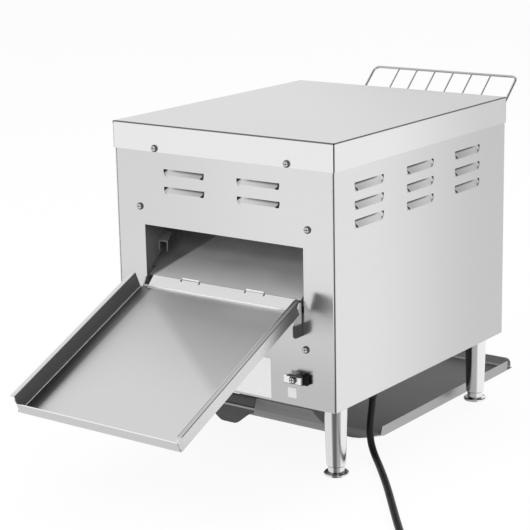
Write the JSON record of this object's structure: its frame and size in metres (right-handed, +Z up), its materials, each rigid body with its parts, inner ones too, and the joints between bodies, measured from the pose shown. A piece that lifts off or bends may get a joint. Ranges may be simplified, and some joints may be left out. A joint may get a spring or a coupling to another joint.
{
  "type": "conveyor toaster",
  "caption": "Countertop conveyor toaster: a wire belt carries bread between quartz tubes to a rear tray, or to a long tray beneath.",
  "frame": {"origin": "on the counter, under the middle of the casing", "axes": "+X to the machine's left side, +Y to the rear where the sloping tray is, +Z up"},
  "size_m": [0.607, 0.88, 0.4715],
  "materials": {
    "satin_steel": "satin stainless steel sheet, finely brushed",
    "inner_steel": "duller stainless steel sheet, bent",
    "galvanised": "zinc-coated steel sheet",
    "rack_wire": "bright chromed wire",
    "belt_wire": "bright drawn wire, slightly heat-tinted",
    "turned_steel": "turned bright steel",
    "sprocket_steel": "plain steel with an oil film",
    "bronze": "sintered bronze",
    "quartz": "frosted quartz tube",
    "ceramic": "glazed white ceramic",
    "polished_steel": "polished stainless steel",
    "motor_paint": "grey enamel",
    "black_plastic": "moulded black plastic",
    "circuit_board": "green resin board with parts",
    "terminal_nylon": "natural nylon",
    "green_lens": "clear green lens",
    "amber_lens": "clear amber lens",
    "cord_rubber": "black rubber, satin"
  },
  "bodies": {
    "casing": {"lid": "satin_steel", "rear_panel": "satin_steel", "front_panel": "satin_steel", "left_panel": "satin_steel", "right_panel": "satin_steel", "base_plate": "galvanised", "left_frame": "inner_steel", "right_frame": "inner_steel", "top_reflector": "galvanised", "lower_reflector": "galvanised", "heat_shield": "galvanised", "upper_tubes": "quartz", "lower_tubes": "quartz", "tube_caps": "ceramic", "discharge_plate": "inner_steel", "wall_brackets": "inner_steel", "shaft_bearings": "bronze", "conveyor_belt": "belt_wire", "drive_chain": "sprocket_steel", "gear_motor": "motor_paint", "fan_frame": "black_plastic", "speed_controller": "circuit_board", "terminal_block": "terminal_nylon", "speed_regulator": "black_plastic", "heat_switch": "black_plastic", "power_lamp": "green_lens", "heat_lamp": "amber_lens", "leg_rear_left": "polished_steel", "leg_rear_right": "polished_steel", "leg_front_left": "polished_steel", "leg_front_right": "polished_steel", "casing_screws": "turned_steel", "earth_terminal": "turned_steel", "cord_gland": "cord_rubber", "power_cord": "cord_rubber", "cord_coil": "cord_rubber", "mains_plug": "cord_rubber"},
    "drive_roller": {"drive_shaft": "turned_steel", "drive_sprockets": "sprocket_steel", "chain_wheel": "sprocket_steel"},
    "idler_roller": {"idler_shaft": "turned_steel", "idler_sprockets": "sprocket_steel"},
    "motor_output": {"motor_shaft": "turned_steel", "motor_pinion": "sprocket_steel"},
    "fan_rotor": {"fan_rotor": "black_plastic"},
    "speed_dial": {"speed_spindle": "turned_steel", "speed_knob": "black_plastic"},
    "heat_dial": {"heat_spindle": "turned_steel", "heat_knob": "black_plastic"},
    "feed_rack": {"feed_rack": "rack_wire"},
    "rear_tray": {"rear_tray": "satin_steel", "tray_ramp": "satin_steel", "tray_hooks": "inner_steel"},
    "catch_tray": {"catch_tray": "inner_steel", "catch_handle": "inner_steel"},
    "foot_rear_left": {"foot_rear_left": "polished_steel"},
    "foot_rear_right": {"foot_rear_right": "polished_steel"},
    "foot_front_left": {"foot_front_left": "polished_steel"},
    "foot_front_right": {"foot_front_right": "polished_steel"}
  },
  "joints": [
    {"name": "belt_drive", "type": "hinge", "parent": "casing", "child": "drive_roller", "pos_m": [0, -0.175, 0.318], "axis": [-1, 0, 0], "continuous": true, "deforming": ["conveyor_belt", "drive_chain"]},
    {"name": "belt_idler", "type": "hinge", "parent": "casing", "child": "idler_roller", "pos_m": [0, 0.098, 0.318], "axis": [-1, 0, 0], "continuous": true},
    {"name": "motor_turn", "type": "hinge", "parent": "casing", "child": "motor_output", "pos_m": [0, -0.12939, 0.19269], "axis": [-1, 0, 0], "continuous": true},
    {"name": "fan_spin", "type": "hinge", "parent": "casing", "child": "fan_rotor", "pos_m": [-0.07, -0.14, 0.102], "axis": [0, 0, 1], "continuous": true},
    {"name": "speed_turn", "type": "hinge", "parent": "casing", "child": "speed_dial", "pos_m": [0.072, -0.2235, 0.19], "axis": [0, 1, 0], "range_deg": [0, 270]},
    {"name": "heat_turn", "type": "hinge", "parent": "casing", "child": "heat_dial", "pos_m": [-0.072, -0.2235, 0.19], "axis": [0, 1, 0], "range_deg": [0, 180]},
    {"name": "rack_lift", "type": "slide", "parent": "casing", "child": "feed_rack", "axis": [0, 0, 1], "range_m": [0, 0.025]},
    {"name": "rear_tray_lift", "type": "slide", "parent": "casing", "child": "rear_tray", "axis": [0, 0, 1], "range_m": [0, 0.03]},
    {"name": "catch_tray_draw", "type": "slide", "parent": "casing", "child": "catch_tray", "axis": [0, -1, 0], "range_m": [0, 0.3]},
    {"name": "level_rear_left", "type": "slide", "parent": "casing", "child": "foot_rear_left", "axis": [0, 0, -1], "range_m": [0, 0.01]},
    {"name": "level_rear_right", "type": "slide", "parent": "casing", "child": "foot_rear_right", "axis": [0, 0, -1], "range_m": [0, 0.01]},
    {"name": "level_front_left", "type": "slide", "parent": "casing", "child": "foot_front_left", "axis": [0, 0, -1], "range_m": [0, 0.01]},
    {"name": "level_front_right", "type": "slide", "parent": "casing", "child": "foot_front_right", "axis": [0, 0, -1], "range_m": [0, 0.01]}
  ],
  "couplings": [
    {"joint": "belt_idler", "follows": "belt_drive", "ratio": 1},
    {"joint": "motor_turn", "follows": "belt_drive", "ratio": 1}
  ]
}
